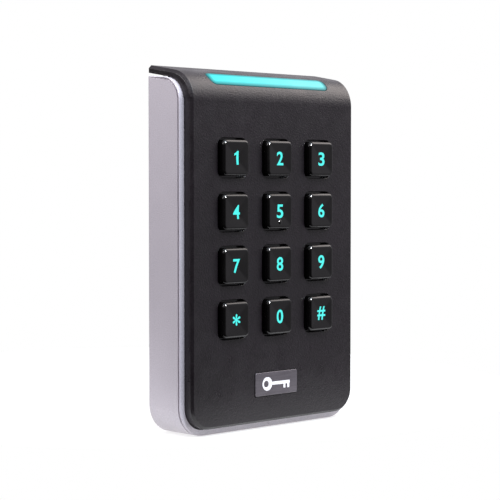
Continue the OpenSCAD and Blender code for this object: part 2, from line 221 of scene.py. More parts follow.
def outline(corners, radii, inset=0.0, steps=8):
    """Points (x, y, nx, ny) round a convex polygon whose corners are rounded, moved inwards by inset."""
    points = []
    count = len(corners)
    for i in range(count):
        before, here, after = (Vector(corners[(i + k) % count]) for k in (-1, 0, 1))
        to_before, to_after = (before - here).normalized(), (after - here).normalized()
        radius = max(radii[i] - inset, 0.02)
        half = to_before.angle(to_after) / 2
        centre = here + (to_before + to_after).normalized() * (radius + inset) / math.sin(half)
        start = Vector((-to_before.y, to_before.x))
        if start.dot(to_after) > 0:
            start = -start
        end = Vector((to_after.y, -to_after.x))
        if end.dot(to_before) > 0:
            end = -end
        a0, a1 = math.atan2(start.y, start.x), math.atan2(end.y, end.x)
        sweep = (a1 - a0 + math.pi) % (2 * math.pi) - math.pi
        for k in range(steps + 1):
            a = a0 + sweep * k / steps
            n = Vector((math.cos(a), math.sin(a)))
            p = centre + n * radius
            points.append((p.x, p.y, n.x, n.y))
    return points


def with_rows(loop, rows):
    """Adds a point to a loop wherever one of its stretches crosses a row y."""
    points = []
    for here, after in zip(loop, loop[1:] + loop[:1]):
        points.append(here)
        low, high = sorted((here[1], after[1]))
        crossed = sorted((y for y in rows if low + 1e-4 < y < high - 1e-4), reverse=after[1] < here[1])
        for y in crossed:
            t = (y - here[1]) / (after[1] - here[1])
            points.append(tuple(p + (q - p) * t for p, q in zip(here, after)))
    return points


def rectangle(w, h, x=0.0, y=0.0):
    """Corners of a rectangle centred on x, y, anticlockwise."""
    left, right, low, high = x - w / 2, x + w / 2, y - h / 2, y + h / 2
    return [(left, low), (right, low), (right, high), (left, high)]


def rounding(radius, steps):
    """Steps (inset, depth, tilt) of a quarter-round edge, from the face to the wall."""
    turns = [k / steps * math.pi / 2 for k in range(steps + 1)]
    return [(radius * (1 - math.sin(t)), radius * (1 - math.cos(t)), t) for t in turns]


class Skin:
    """A surface in flat coordinates: a across, b along and d deep. Its points carry their own normals."""

    def __init__(self):
        self.points, self.normals, self.faces, self.hard = [], [], [], []

    def ring(self, loop, depth, tilt, hole=False):
        """Adds a loop of points at a depth. Their normals tilt from the face (0) to the wall (90 degrees)."""
        first = len(self.points)
        side = -math.sin(tilt) if hole else math.sin(tilt)
        for x, y, nx, ny in loop:
            d = depth(x, y) if callable(depth) else depth
            self.points.append((x, y, d))
            self.normals.append((nx * side, ny * side, -math.cos(tilt)))
        return list(range(first, len(self.points)))

    def band(self, one, two, hard=False):
        """Joins two loops of the same count with quads."""
        n = len(one)
        for i in range(n):
            j = (i + 1) % n
            self.faces.append((one[i], one[j], two[j], two[i]))
            self.hard.append(hard)

    def edge(self, corners, radii, profile, hole=False, steps=8, rows=()):
        """Adds an edge as a stack of loops, one for each (inset, depth, tilt), and returns the loops."""
        loops = []
        for inset, depth, tilt in profile:
            shape = with_rows(outline(corners, radii, -inset if hole else inset, steps), rows)
            loops.append(self.ring(shape, depth, tilt, hole))
            if len(loops) > 1:
                self.band(loops[-2], loops[-1])
        return loops

    def fill(self, outer, holes=(), hard=False):
        """Fills the flat area between one outer loop and its holes."""
        ids = [i for loop in (outer, *holes) for i in loop]
        where = {i: k for k, i in enumerate(ids)}
        flat = [Vector(self.points[i][:2]) for i in ids]
        edges = [
            (where[loop[k]], where[loop[(k + 1) % len(loop)]])
            for loop in (outer, *holes) for k in range(len(loop))
        ]
        _, _, triangles, origin, _, _ = delaunay_2d_cdt(flat, edges, [], 0, 1e-7)
        loops = [np.array([self.points[i][:2] for i in loop]) for loop in (outer, *holes)]
        for triangle in triangles:
            mine = [ids[origin[v][0]] for v in triangle]
            middle = np.mean([self.points[i][:2] for i in mine], axis=0)
            if inside(middle, loops[0]) and not any(inside(middle, hole) for hole in loops[1:]):
                self.faces.append(tuple(mine))
                self.hard.append(hard)

    def cap(self, loop, hard=True):
        """Closes a loop with one face."""
        self.faces.append(tuple(loop))
        self.hard.append(hard)

    def prism(self, polygon, low, high):
        """Adds a closed prism: a polygon in (b, d), drawn out along a."""
        n = len(polygon)
        first = len(self.points)
        for a in (low, high):
            for b, d in polygon:
                self.points.append((a, b, d))
                self.normals.append((0, 0, -1))
        one, two = list(range(first, first + n)), list(range(first + n, first + 2 * n))
        self.band(one, two, hard=True)
        self.cap(one)
        self.cap(two)


def inside(point, loop):
    """True if a point lies inside a closed loop of points."""
    x, y = point
    x0, y0 = loop[:, 0], loop[:, 1]
    x1, y1 = np.roll(x0, -1), np.roll(y0, -1)
    crosses = (y0 > y) != (y1 > y)
    with np.errstate(divide="ignore", invalid="ignore"):
        at = x0 + (y - y0) / (y1 - y0) * (x1 - x0)
    return bool(np.count_nonzero(crosses & (x < at)) % 2)


def make(name, skin, place, rows=(), wall_cut=False):
    """Turns a skin into a Blender object: cuts it at the rows b, places it and gives it its normals."""
    bm = bmesh.new()
    layer = bm.verts.layers.float_vector.new("flat_normal")
    hard = bm.faces.layers.int.new("hard")
    for p, n in zip(skin.points, skin.normals):
        bm.verts.new(p)[layer] = n
    bm.verts.ensure_lookup_table()
    for f, is_hard in zip(skin.faces, skin.hard):
        bm.faces.new([bm.verts[i] for i in f])[hard] = int(is_hard)
    for b in rows:
        everything = bm.verts[:] + bm.edges[:] + bm.faces[:]
        bmesh.ops.bisect_plane(bm, geom=everything, dist=1e-5, plane_co=(0, b, 0), plane_no=(0, 1, 0))
    points = np.array([v.co for v in bm.verts])
    normals = np.array([v[layer] for v in bm.verts])
    placed, turned = warp(points, normals, place)
    for v, p, n in zip(bm.verts, placed, turned):
        v.co = p
        v[layer] = n
    if wall_cut:
        everything = bm.verts[:] + bm.edges[:] + bm.faces[:]
        cut = bmesh.ops.bisect_plane(
            bm, geom=everything, dist=1e-5, plane_co=(0, 0, 0), plane_no=(0, 1, 0), clear_outer=True
        )
        rim = [e for e in cut["geom_cut"] if isinstance(e, bmesh.types.BMEdge)]
        for f in bmesh.ops.holes_fill(bm, edges=rim)["faces"]:
            f[hard] = 1
    bmesh.ops.delete(bm, geom=[v for v in bm.verts if not v.link_faces], context="VERTS")
    bmesh.ops.recalc_face_normals(bm, faces=bm.faces)
    bm.normal_update()
    mesh = bpy.data.meshes.new(name)
    loop_normals = []
    for f in bm.faces:
        f.smooth = True
        for v in f.verts:
            n = Vector(v[layer])
            use_face = f[hard] or n.length < 0.5 or n.dot(f.normal) < 0.2
            loop_normals.append(f.normal.copy() if use_face else n.normalized())
    for v in bm.verts:
        v.co = v.co * MM
    bm.to_mesh(mesh)
    bm.free()
    mesh.normals_split_custom_set(loop_normals)
    return link(name, mesh)


def warp(points, normals, place):
    """Places points with a function of (a, b, d) arrays, and turns their normals with it."""
    step = 1e-3
    placed = place(points)
    columns = []
    for axis in range(3):
        shift = np.zeros(3)
        shift[axis] = step
        columns.append((place(points + shift) - place(points - shift)) / (2 * step))
    turn = np.stack(columns, axis=2)
    turned = np.einsum("nji,nj->ni", np.linalg.inv(turn), normals)
    turned /= np.linalg.norm(turned, axis=1, keepdims=True)
    return placed, turned


def link(name, mesh):
    """Adds an object with this mesh to the scene."""
    piece = bpy.data.objects.new(name, mesh)
    bpy.context.scene.collection.objects.link(piece)
    return piece


# ---------------------------------------------------------------- where the flat skins go

bend_y = COVER_BEND_R - FACE_D
bend_z = COVER_TOP + bend_y * math.tan(COVER_SLOPE) - COVER_BEND_R / math.cos(COVER_SLOPE)
bend_start = bend_z - COVER_FOOT
bend_length = COVER_BEND_R * (math.pi / 2 - COVER_SLOPE)
bend_end = bend_start + bend_length
hood_y = bend_y - COVER_BEND_R * math.sin(COVER_SLOPE)
cover_length = bend_end - hood_y / math.cos(COVER_SLOPE)
lip_y = -LIP_L + (COVER_BEND_R - LIP_T) * math.sin(COVER_SLOPE)
lip_start = bend_end + (lip_y - bend_y) / math.cos(COVER_SLOPE)
light_b = bend_start + LIGHT_ANGLE * COVER_BEND_R


def smooth(low, high, value):
    """Goes softly from 0 at low to 1 at high."""
    t = np.clip((value - low) / (high - low), 0, 1)
    return t * t * (3 - 2 * t)


def on_cover(flat):
    """Places (across, along from the foot, deep) on the cover: up the front, round the bend, to the wall."""
    a, b, d = flat[:, 0], flat[:, 1], flat[:, 2]
    angle = np.clip((b - bend_start) / COVER_BEND_R, 0, math.pi / 2 - COVER_SLOPE)
    below = np.minimum(b - bend_start, 0)
    beyond = np.maximum(b - bend_end, 0)
    y = bend_y - (COVER_BEND_R - d) * np.cos(angle) + beyond * math.cos(COVER_SLOPE)
    z = bend_z + (COVER_BEND_R - d) * np.sin(angle) + below + beyond * math.sin(COVER_SLOPE)
    limit = -FACE_D + FACE_D * smooth(SHOULDER_Z, SHOULDER_Z + SHOULDER_BLEND, z)
    widen = 1 + COVER_TAPER / (COVER_FACE_W / 2) * (FACE_D + np.minimum(y, limit)) / FACE_D
    return np.stack([a * widen, y, z - MID_Z], axis=1)


side_start = BODY_W / 2 - FOOT_R
side_end = side_start + FOOT_R * math.pi / 2


def on_housing(flat):
    """Places (depth from the wall, along the wall from the foot's middle, deep) round the housing's foot."""
    a, b, d = flat[:, 0], flat[:, 1], flat[:, 2]
    along, side = np.abs(b), np.sign(b)
    angle = np.clip((along - side_start) / FOOT_R, 0, math.pi / 2)
    x = np.minimum(along, side_start) + (FOOT_R - d) * np.sin(angle)
    z = FOOT_R - (FOOT_R - d) * np.cos(angle) + np.maximum(along - side_end, 0)
    return np.stack([side * x, -a, z - MID_Z], axis=1)


def facing(x, z, front):
    """Returns a function that places (across, up, deep) on a plane at depth front, centred on x, z."""
    def place(flat):
        return np.stack([x + flat[:, 0], flat[:, 2] - front, z - MID_Z + flat[:, 1]], axis=1)
    return place


def in_housing(y, z):
    """True inside the housing's side view, grown by the gap to the cover."""
    cy = HOUSING_BEND_R - RIM_D
    cz = HOUSING_TOP + cy * math.tan(HOUSING_SLOPE) - HOUSING_BEND_R / math.cos(HOUSING_SLOPE)
    if z < cz:
        return y > -RIM_D - SHADOW_GAP
    if math.hypot(y - cy, z - cz) < HOUSING_BEND_R + SHADOW_GAP:
        return True
    return y > cy and z < HOUSING_TOP + SHADOW_GAP + y * math.tan(HOUSING_SLOPE)


def cover_wall(a, b):
    """Depth of the cover's side wall at b: to the housing's rim, the housing's bend or the lip."""
    if b < bend_start - BLEND:
        return SKIRT_L
    if b > lip_start:
        return LIP_T
    low, high = 0.0, SKIRT_L
    for _ in range(20):
        middle = (low + high) / 2
        _, y, z = on_cover(np.array([[0.0, b, middle]]))[0]
        low, high = (low, middle) if in_housing(y, z + MID_Z) else (middle, high)
    share = float(smooth(bend_start - BLEND, bend_start, b))
    return SKIRT_L * (1 - share) + low * share


def chamfer_growth(b):
    """How much wider than at the front the cover's chamfer is at b."""
    return CHAMFER_GROWTH * float(smooth(bend_start, bend_end, b))


def chamfer_foot(extra):
    """Returns a function for the depth where the chamfer ends, moved deeper by extra."""
    return lambda a, b: CHAMFER + extra + chamfer_growth(b)


# ---------------------------------------------------------------- the pieces

def finish_piece(piece, slot, body, *nodes, look=None):
    """Rides a piece on its body, in place of these CAD nodes, with its slot's material or another look."""
    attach(piece, body)
    if nodes:
        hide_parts(*nodes)
    piece.data.materials.clear()
    piece.data.materials.append(materials[look or slot])


def key_centre(index):
    """Centre of the key at this place in the reading order."""
    return COLUMN_PITCH * (index % 3 - 1), TOP_ROW_Z - ROW_PITCH * (index // 3)


def front_cover():
    """The black cover: front, bend, hood and lip, with its windows."""
    skin = Skin()
    length = cover_length + OVERRUN
    corners = rectangle(COVER_FACE_W, length, 0, length / 2)
    radii = (COVER_FOOT_R, COVER_FOOT_R, TOP_CORNER_R, TOP_CORNER_R)
    # The flat skin is cut at these rows, so that it bends smoothly.
    turns = [bend_start + COVER_BEND_R * BEND_STEP * k for k in range(28)]
    rows = [bend_start - BLEND + k * BLEND / 4 for k in range(4)] + turns
    rows += [bend_end + 1, bend_end + 2, lip_start, lip_start + 0.02, lip_start + 2, lip_start + 4]
    # A narrow facet softens both edges of the chamfer.
    soft = 1.4 * CHAMFER_EDGE
    walls = [
        (CHAMFER + soft, 0, 0), (CHAMFER - CHAMFER_EDGE, CHAMFER_EDGE, CHAMFER_TILT),
        (CHAMFER_EDGE, chamfer_foot(-CHAMFER_EDGE), CHAMFER_TILT),
        (0, chamfer_foot(soft), WALL), (0, cover_wall, WALL),
    ]
    loops = skin.edge(corners, radii, walls, steps=10, rows=rows)
    for i in loops[0] + loops[1]:
        a, b, d = skin.points[i]
        skin.points[i] = (a - math.copysign(chamfer_growth(b), a), b, d)
    inner = with_rows(outline(corners, radii, COVER_T, 10), rows)
    brim = skin.ring(inner, cover_wall, 0)
    inner_face = skin.ring(inner, COVER_T, 0)
    skin.band(loops[-1], brim, hard=True)
    skin.band(brim, inner_face, hard=True)
    light = rectangle(LIGHT_W + 2 * LIGHT_GAP, LIGHT_H + 2 * LIGHT_GAP, 0, light_b)
    shapes = [(light, [LIGHT_END_R + LIGHT_GAP] * 4)]
    for i in range(12):
        x, z = key_centre(i)
        window = rectangle(KEY_W + 2 * WINDOW_GAP, KEY_H + 2 * WINDOW_GAP, x, z - COVER_FOOT)
        shapes.append((window, [KEY_R + WINDOW_GAP] * 4))
    face_holes, back_holes = [], []
    for shape, corner_r in shapes:
        hole = skin.edge(shape, corner_r, rounding(WINDOW_EDGE_R, 3) + [(0, COVER_T, WALL)], hole=True)
        face_holes.append(hole[0])
        back_holes.append(hole[-1])
    badge = rectangle(BADGE_W + 2 * BADGE_GAP, BADGE_H + 2 * BADGE_GAP, 0, BADGE_Z - COVER_FOOT)
    walls = rounding(RECESS_EDGE_R, 3) + [(0, BADGE_RECESS, WALL)]
    recess = skin.edge(badge, [RECESS_R] * 4, walls, hole=True, steps=4)
    face_holes.append(recess[0])
    skin.cap(recess[-1])
    skin.fill(loops[0], face_holes)
    skin.fill(inner_face, back_holes, hard=True)
    across = COVER_FACE_W / 2 - COVER_T - 0.1
    rib = lip_start - LIP_RIB_L
    front, back, foot = LIP_RIB_DEEP
    skin.prism([(rib, front), (lip_start, front), (lip_start, back), (rib, foot)], -across, across)
    shell = make("cover_shell", skin, on_cover, rows, wall_cut=True)
    finish_piece(shell, "cover_plastic", "reader", "front_cover")


def rear_housing():
    """The silver housing: a U-shaped wall with a rounded rim, a floor with its windows, and a top."""
    skin = Skin()
    wall_top = side_end + HOUSING_TOP - FOOT_R
    rim_top = wall_top - RIM_D * math.tan(HOUSING_SLOPE)
    corners = [(0, -wall_top), (RIM_D, -rim_top), (RIM_D, rim_top), (0, wall_top)]
    radii = (SQUARE_R, HOUSING_BEND_R, HOUSING_BEND_R, SQUARE_R)
    turns = [side_start + FOOT_R * FOOT_STEP * k for k in range(21)]
    rows = sorted([-b for b in turns] + turns)

    def thickness(a, b):
        return REAR_RIM_W if a < RIM_W else RIM_W

    def groove(a, b):
        return GROOVE_T if a > RIM_D / 3 else 0

    walls = [
        (GROOVE_END, 0, 0), (GROOVE_END - GROOVE_EDGE, groove, 0),
        (GROOVE_START + GROOVE_EDGE, groove, 0), (GROOVE_START, 0, 0),
        *rounding(RIM_EDGE_R, 5), (0, thickness, WALL),
    ]
    loops = skin.edge(corners, radii, walls, steps=14, rows=rows)
    skin.fill(loops[0])
    skin.fill(loops[-1], hard=True)
    shell = make("housing_shell", skin, on_housing, rows)
    finish_piece(shell, "housing_paint", "reader", "rear_housing")

    skin = Skin()
    low, high = RIM_W, HOUSING_TOP - FLOOR_SHORT
    plate = rectangle(FLOOR_W, high - low, 0, (high + low) / 2)
    windows = [(rectangle(w, h, x, z), [r] * 4) for w, h, x, z, r in FLOOR_WINDOWS]
    for x in (-SCREW_HOLE_X, SCREW_HOLE_X):
        for z in SCREW_HOLE_Z:
            windows.append((rectangle(SCREW_HOLE_W, SCREW_HOLE_W, x, z), [SCREW_HOLE_W / 2] * 4))
    radii = (FLOOR_R, FLOOR_R, TOP_CORNER_R, TOP_CORNER_R)
    sheet(skin, plate, radii, FLOOR_D[1] - FLOOR_D[0], windows)
    place = facing(0, 0, FLOOR_D[1])
    finish_piece(make("housing_floor", skin, place), "housing_paint", "reader")

    skin = Skin()
    front_top = HOUSING_TOP - TOP_WALL_D * math.tan(HOUSING_SLOPE)
    under = HOUSING_TOP - TOP_WALL_T
    foot = under - TOP_WALL_FOOT
    side_view = [
        (0, HOUSING_TOP), (-TOP_WALL_D, front_top), (-TOP_WALL_D, under),
        (-FLOOR_D[1], under), (-FLOOR_D[1], foot), (0, foot),
    ]
    skin.prism(side_view, 1 - BODY_W / 2, BODY_W / 2 - 1)
    piece = make("housing_top", skin, lambda flat: flat - np.array([0, 0, MID_Z]))
    finish_piece(piece, "housing_paint", "reader")

    skin = Skin()
    walls = [(0.2, 0.06, 0.5), (0.05, 0, 0), (0, 0.1, WALL)]
    loops = skin.edge(rectangle(PORT_W, PORT_W), [PORT_W / 2] * 4, walls)
    skin.cap(loops[0])
    skin.cap(loops[-1])
    port = make("rim_port", skin, facing(0, PORT_Z, RIM_D + 0.02))
    finish_piece(port, "chip_black", "reader")


def sheet(skin, corners, radii, thick, holes=(), edge_r=0.25):
    """Adds a flat plate with rounded edges and holes right through, its front at depth 0."""
    front = rounding(edge_r, 3)
    back = [(inset, thick - depth, math.pi - tilt) for inset, depth, tilt in reversed(front)]
    outer = skin.edge(corners, radii, front + back)
    holes = [skin.edge(shape, corner_r, front + back, hole=True) for shape, corner_r in holes]
    skin.fill(outer[0], [hole[0] for hole in holes])
    skin.fill(outer[-1], [hole[-1] for hole in holes], hard=True)


def dish(x, z):
    """Depth of a key's face below its edge: four shallow facets that fall to the middle."""
    return KEY_DISH * (1 - max(abs(x) / KEY_FACE_HALF_W, abs(z) / KEY_FACE_HALF_H))


def key_cap(node, index):
    """One key: skirt, bevel, dished face, and the flange and pocket behind the cover."""
    skin = Skin()
    corners, radii = rectangle(KEY_W, KEY_H), [KEY_R] * 4
    flange_front, flange_back = KEY_D - FLANGE_D[1], KEY_D - FLANGE_D[0]
    cap = skin.edge(corners, radii, rounding(KEY_EDGE_R, 8) + [(0, flange_front, WALL)])
    middle = len(skin.points)
    skin.points.append((0, 0, KEY_DISH))
    skin.normals.append((0, 0, -1))
    for i, p in enumerate(cap[0]):
        skin.faces.append((p, cap[0][(i + 1) % len(cap[0])], middle))
        skin.hard.append(True)
    walls = [(-FLANGE_REACH, flange_front, WALL), (-FLANGE_REACH, flange_back, WALL)]
    flange = skin.edge(corners, radii, walls)
    skin.band(cap[-1], flange[0], hard=True)
    pocket_front = flange_back - POCKET_DEEP
    walls = [(0, flange_back, WALL), (0, pocket_front, WALL)]
    pocket = skin.edge(rectangle(POCKET_W, POCKET_W), [SQUARE_R] * 4, walls)
    post = skin.edge(rectangle(POST_W, POST_W), [POST_W / 2] * 4, walls[::-1])
    skin.fill(flange[-1], [pocket[0]], hard=True)
    skin.fill(pocket[-1], [post[0]], hard=True)
    skin.cap(post[-1])
    x, z = key_centre(index)
    finish_piece(make(node + "_cap", skin, facing(x, z, KEY_D)), "key_plastic", node, node)


def nib(node, index):
    """The small dome under a digit that a finger finds the middle key by."""
    skin = Skin()
    flat = NIB_H / NIB_R
    dome = []
    for inset, depth, tilt in rounding(NIB_R, 7):
        dome.append((inset, depth * flat, math.atan(flat * math.tan(min(tilt, NIB_STEEPEST)))))
    dome.append((0, NIB_ROOT, WALL))
    loops = skin.edge(rectangle(2 * NIB_R, 2 * NIB_R), [NIB_R] * 4, dome)
    skin.cap(loops[0], hard=False)
    skin.cap(loops[-1])
    x, z = key_centre(index)
    piece = make(node + "_nib", skin, facing(x, z - NIB_DOWN, NIB_D))
    finish_piece(piece, "key_plastic", node)


def legend(node, index):
    """The lit sign on a key, laid on the dished face."""
    if LEGENDS[node] == "1":
        curve = bpy.data.curves.new(node + "_legend", "CURVE")
        curve.dimensions = "2D"
        curve.fill_mode = "BOTH"
        line = curve.splines.new("POLY")
        line.points.add(len(ONE) - 1)
        for point, (x, y) in zip(line.points, ONE):
            point.co = (x, y, 0, 1)
        line.use_cyclic_u = True
    else:
        curve = bpy.data.curves.new(node + "_legend", "FONT")
        curve.body = LEGENDS[node]
        curve.size = DIGIT_H / FONT_CAP * (STAR_GROWTH if LEGENDS[node] == "*" else 1)
        curve.offset = STROKE_GROWTH
        curve.resolution_u = 5
    curve.extrude = LEGEND_T
    text = link(node + "_text", curve)
    bpy.context.view_layer.update()
    mesh = bpy.data.meshes.new_from_object(text.evaluated_get(bpy.context.evaluated_depsgraph_get()))
    bpy.data.objects.remove(text)
    bm = bmesh.new()
    bm.from_mesh(mesh)
    bmesh.ops.remove_doubles(bm, verts=bm.verts, dist=1e-4)
    lowest = [min(v.co[k] for v in bm.verts) for k in range(2)]
    highest = [max(v.co[k] for v in bm.verts) for k in range(2)]
    off = [-(low + high) / 2 for low, high in zip(lowest, highest)]
    bmesh.ops.translate(bm, verts=bm.verts, vec=(*off, 0))
    if LEGENDS[node] in WIDE_DIGITS:
        bmesh.ops.scale(bm, verts=bm.verts, vec=(DIGIT_W / (highest[0] - lowest[0]), 1, 1))
    for side in (-1, 1):
        bmesh.ops.bisect_plane(
            bm, geom=bm.verts[:] + bm.edges[:] + bm.faces[:], dist=1e-5,
            plane_co=(0, 0, 0), plane_no=(KEY_FACE_HALF_H, side * KEY_FACE_HALF_W, 0)
        )
    x, z = key_centre(index)
    for v in bm.verts:
        depth = dish(v.co.x, v.co.y) - v.co.z
        v.co = Vector((x + v.co.x, depth - KEY_D, z - MID_Z + v.co.y)) * MM
    bmesh.ops.recalc_face_normals(bm, faces=bm.faces)
    bm.to_mesh(mesh)
    bm.free()
    piece = link(node + "_legend", mesh)
    finish_piece(piece, "led_resin", node, look="legend")


def light_bar():
    """The clear bar on the bend of the cover, lit from behind."""
    skin = Skin()
    corners = rectangle(LIGHT_W, LIGHT_H, 0, light_b)
    walls = rounding(LIGHT_EDGE_R, 3) + [(0, COVER_T, WALL)]
    loops = skin.edge(corners, [LIGHT_END_R] * 4, walls, steps=12)
    skin.fill(loops[0])
    skin.fill(loops[-1], hard=True)
    rows = [light_b + COVER_BEND_R * BEND_STEP * k for k in range(-4, 5)]
    finish_piece(make("light_bar", skin, on_cover, rows), "light_bar", "reader", "light_bar_lens")


def badge():
    """The metal badge with a pictogram of a key on it."""
    skin = Skin()
    front = FACE_D + BADGE_PROUD
    profile = rounding(BADGE_EDGE_R, 4) + [(0, BADGE_PROUD + BADGE_ROOT, WALL)]
    loops = skin.edge(rectangle(BADGE_W, BADGE_H), [BADGE_R] * 4, profile)
    skin.cap(loops[0], hard=False)
    skin.cap(loops[-1])
    plate = make("badge", skin, facing(0, BADGE_Z, front))
    finish_piece(plate, "badge_metal", "reader", "badge_plate")

    skin = Skin()
    edge = rounding(0.05, 2) + [(0, SIGN_T, WALL)]
    bow = skin.edge(rectangle(*BOW), [BOW[0] / 2] * 4, edge)
    eye = skin.edge(rectangle(*EYE), [EYE[0] / 2] * 4, edge, hole=True)
    skin.fill(bow[0], [eye[0]])
    skin.fill(bow[-1], [eye[-1]], hard=True)
    for place in SHAFT_AND_TEETH:
        bar = skin.edge(rectangle(*place), [SIGN_CORNER_R] * 4, edge, steps=3)
        skin.cap(bar[0], hard=False)
        skin.cap(bar[-1])
    piece = make("badge_sign", skin, facing(0, BADGE_Z, front + SIGN_PROUD))
    finish_piece(piece, "badge_metal", "reader", look="badge_sign")


# ---------------------------------------------------------------- materials

def srgb(r, g, b):
    """A linear colour from a screen colour of 0 to 255."""
    def channel(c):
        c /= 255
        return c / 12.92 if c <= 0.04045 else ((c + 0.055) / 1.055) ** 2.4
    return (channel(r), channel(g), channel(b), 1)


def add(tree, kind, **settings):
    """A shader node with its settings. A setting that names an input sets that input."""
    node = tree.nodes.new(kind)
    for key, value in settings.items():
        if key in node.inputs:
            node.inputs[key].default_value = value
        else:
            setattr(node, key, value)
    return node


def noise(tree, place, scale, detail=3, stretch=(1, 1, 1)):
    """The value of a noise with this many waves a metre."""
    mapping = add(tree, "ShaderNodeMapping", Scale=stretch)
    tree.links.new(place, mapping.inputs["Vector"])
    node = add(tree, "ShaderNodeTexNoise", Scale=scale, Detail=detail, Roughness=0.55)
    tree.links.new(mapping.outputs["Vector"], node.inputs["Vector"])
    return node.outputs["Fac"]


def ranged(tree, value, low, high, start=0.3, end=0.7):
    """A value stretched from start..end to low..high."""
    node = add(tree, "ShaderNodeMapRange")
    for name, number in (("From Min", start), ("From Max", end), ("To Min", low), ("To Max", high)):
        node.inputs[name].default_value = number
    tree.links.new(value, node.inputs["Value"])
    return node.outputs["Result"]


def finish_material(
    name, colour, rough, metallic=0.0, grain=3000, bump=0.1, depth=0.02, mottle=0.12, speck=0.0,
    rough_change=0.08, coat=0.0, sheen=0.0, specular=0.5, stretch=(1, 1, 1)
):
    """A principled material: a colour with broad mottling, fine grain and specks, and a worked surface."""
    material = bpy.data.materials.new(name)
    material.use_nodes = True
    tree = material.node_tree
    shader = tree.nodes["Principled BSDF"]
    shader.inputs["Metallic"].default_value = metallic
    shader.inputs["Coat Weight"].default_value = coat
    shader.inputs["Coat Roughness"].default_value = COAT_ROUGHNESS
    shader.inputs["Sheen Weight"].default_value = sheen
    shader.inputs["Specular IOR Level"].default_value = specular
    place = add(tree, "ShaderNodeTexCoord").outputs["Object"]
    broad = noise(tree, place, BROAD_NOISE, 4)
    fine = noise(tree, place, grain, 2, stretch)
    light = ranged(tree, broad, 1 - mottle, 1 + mottle)
    shade = add(tree, "ShaderNodeMix", data_type="RGBA", blend_type="MULTIPLY")
    shade.inputs["Factor"].default_value = 1
    shade.inputs["A"].default_value = colour
    tree.links.new(light, shade.inputs["B"])
    sparkle = add(tree, "ShaderNodeMix", data_type="RGBA", blend_type="MULTIPLY")
    sparkle.inputs["Factor"].default_value = 1
    tree.links.new(shade.outputs["Result"], sparkle.inputs["A"])
    tree.links.new(ranged(tree, fine, 1 - speck, 1 + speck), sparkle.inputs["B"])
    tree.links.new(sparkle.outputs["Result"], shader.inputs["Base Color"])
    worn = ranged(tree, noise(tree, place, WEAR_NOISE, 3), rough - rough_change, rough + rough_change)
    tree.links.new(worn, shader.inputs["Roughness"])
    relief = add(tree, "ShaderNodeBump", Strength=bump, Distance=depth * MM)
    tree.links.new(fine, relief.inputs["Height"])
    tree.links.new(relief.outputs["Normal"], shader.inputs["Normal"])
    return material


def calculate(tree, operation, *values):
    """A value worked out from other values or from numbers."""
    node = add(tree, "ShaderNodeMath", operation=operation)
    for socket, value in zip(node.inputs, values):
        if isinstance(value, (int, float)):
            socket.default_value = value
        else:
            tree.links.new(value, socket)
    return node.outputs["Value"]


def lit_material(name, dim, bright, along):
    """A lit plastic whose glow goes from one colour to the other between two x, with soft streaks."""
    material = finish_material(name, srgb(8, 60, 64), 0.35, grain=400, bump=0.0, specular=0.06)
    tree = material.node_tree
    shader = tree.nodes["Principled BSDF"]
    place = add(tree, "ShaderNodeTexCoord").outputs["Object"]
    split = add(tree, "ShaderNodeSeparateXYZ")
    tree.links.new(place, split.inputs["Vector"])
    blend = add(tree, "ShaderNodeMix", data_type="RGBA")
    blend.inputs["A"].default_value = dim
    blend.inputs["B"].default_value = bright
    tree.links.new(ranged(tree, split.outputs["X"], 0, 1, *along), blend.inputs["Factor"])
    tree.links.new(blend.outputs["Result"], shader.inputs["Emission Color"])
    steady = ranged(tree, noise(tree, place, GLOW_NOISE, 2), 0.96, 1.02)
    tree.links.new(steady, shader.inputs["Emission Strength"])
    return material


def fade_at_edge(material):
    """Lets the light bar's glow die away towards its outline."""
    tree = material.node_tree
    shader = tree.nodes["Principled BSDF"]
    split = add(tree, "ShaderNodeSeparateXYZ")
    tree.links.new(add(tree, "ShaderNodeTexCoord").outputs["Object"], split.inputs["Vector"])
    up = calculate(tree, "SUBTRACT", split.outputs["Z"], (bend_z - MID_Z) * MM)
    out = calculate(tree, "SUBTRACT", bend_y * MM, split.outputs["Y"])
    turn = calculate(tree, "SUBTRACT", calculate(tree, "ARCTAN2", up, out), LIGHT_ANGLE)
    squares = []
    along = calculate(tree, "MULTIPLY", turn, COVER_BEND_R * MM)
    for offset, size in ((split.outputs["X"], LIGHT_W), (along, LIGHT_H)):
        off = calculate(tree, "ABSOLUTE", offset)
        beyond = calculate(tree, "SUBTRACT", off, (size / 2 - LIGHT_END_R) * MM)
        squares.append(calculate(tree, "POWER", calculate(tree, "MAXIMUM", beyond, 0), 2))
    distance = calculate(tree, "SQRT", calculate(tree, "ADD", *squares))
    fade = ranged(tree, distance, 1, BAR_EDGE_GLOW, (LIGHT_END_R - BAR_FADE) * MM, LIGHT_END_R * MM)
    steady = shader.inputs["Emission Strength"].links[0].from_socket
    tree.links.new(calculate(tree, "MULTIPLY", steady, fade), shader.inputs["Emission Strength"])
    return material


